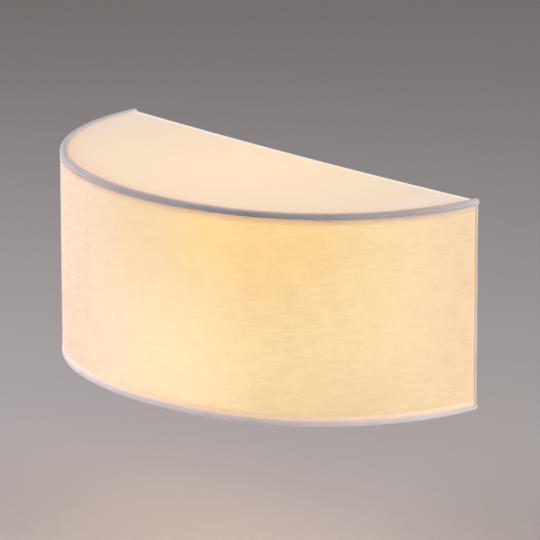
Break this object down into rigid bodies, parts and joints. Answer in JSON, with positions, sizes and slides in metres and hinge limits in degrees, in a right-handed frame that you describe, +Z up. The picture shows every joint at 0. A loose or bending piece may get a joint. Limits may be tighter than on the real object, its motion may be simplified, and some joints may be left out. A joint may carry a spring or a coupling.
{
  "type": "fabric shade wall light",
  "caption": "Half-drum fabric wall light: stretched cloth shade with a closed lid on a wire frame, pulled off a wall pan that carries an upright screw lamp.",
  "frame": {"origin": "middle of the wall strap's two fixing slots, on the wall's plane", "axes": "+X along the wall to the right as seen from the room, +Y into the wall, +Z up"},
  "size_m": [0.3508, 0.1554, 0.148],
  "materials": {
    "shade_fabric": "woven slub cloth, lit through",
    "lid_fabric": "woven slub cloth, lit through",
    "trim_fabric": "rolled cloth edging",
    "film": "satin translucent film",
    "frame_paint": "white powder coat",
    "pan_paint": "white powder coat, fine texture",
    "zinc": "bright zinc plate",
    "nickel": "nickel plate, knurled",
    "rivet": "plain",
    "brass": "plain",
    "nylon": "moulded",
    "bush": "matte",
    "lead_brown": "extruded insulation",
    "lead_blue": "extruded insulation",
    "lead_green_yellow": "extruded insulation, striped",
    "holder_plastic": "moulded",
    "ceramic": "unglazed steatite",
    "cap_metal": "nickel plate",
    "insulator": "black glass",
    "solder": "soldered",
    "lamp_white": "moulded",
    "opal": "opal diffuser, lit",
    "board": "white solder mask"
  },
  "bodies": {
    "wall_unit": {"wall_strap": "zinc", "cable_bush": "bush", "strap_studs": "zinc", "cap_nuts": "nickel", "back_pan": "pan_paint", "rivet_nuts": "zinc", "terminal_block": "nylon", "terminal_sleeves": "brass", "terminal_clamp_screws": "zinc", "terminal_fixing_screw": "zinc", "earth_screw": "brass", "earth_tag": "solder", "lead_live": "lead_brown", "lead_neutral": "lead_blue", "lead_earth": "lead_green_yellow", "lead_grommet": "bush", "holder_bracket": "pan_paint", "bracket_rivets": "rivet", "holder_base": "holder_plastic", "holder_skirt": "holder_plastic", "holder_ring": "holder_plastic", "holder_insert": "ceramic", "holder_shell": "brass", "holder_contact": "brass", "holder_clamps": "brass"},
    "shade": {"shade_fabric": "shade_fabric", "shade_film": "film", "lid_fabric": "lid_fabric", "lid_film": "film", "top_hoop": "frame_paint", "bottom_hoop": "frame_paint", "top_bar": "frame_paint", "bottom_bar": "frame_paint", "upright_left": "frame_paint", "upright_right": "frame_paint", "stile_left": "frame_paint", "stile_right": "frame_paint", "top_trim": "trim_fabric", "bottom_trim": "trim_fabric", "edge_trim_left": "trim_fabric", "edge_trim_right": "trim_fabric"},
    "lamp": {"bulb_cap": "cap_metal", "bulb_tip": "solder", "bulb_insulator": "insulator", "bulb_housing": "lamp_white", "led_board": "board", "bulb_dome": "opal"},
    "thumb_screw_left": {"thumb_screw_left": "nickel"},
    "thumb_screw_right": {"thumb_screw_right": "nickel"}
  },
  "joints": [
    {"name": "shade_pull_off", "type": "slide", "parent": "wall_unit", "child": "shade", "axis": [0, -1, 0], "range_m": [0, 0.12]},
    {"name": "thumb_screw_left_turn", "type": "hinge", "parent": "wall_unit", "child": "thumb_screw_left", "pos_m": [-0.12, -0.01, 0], "axis": [-1, 0, 0], "range_deg": [0, 1080]},
    {"name": "thumb_screw_right_turn", "type": "hinge", "parent": "wall_unit", "child": "thumb_screw_right", "pos_m": [0.12, -0.01, 0], "axis": [1, 0, 0], "range_deg": [0, 1080]},
    {"name": "lamp_turn", "type": "hinge", "parent": "wall_unit", "child": "lamp", "pos_m": [0, -0.058, 0], "axis": [0, 0, 1], "range_deg": [0, 1080]}
  ]
}
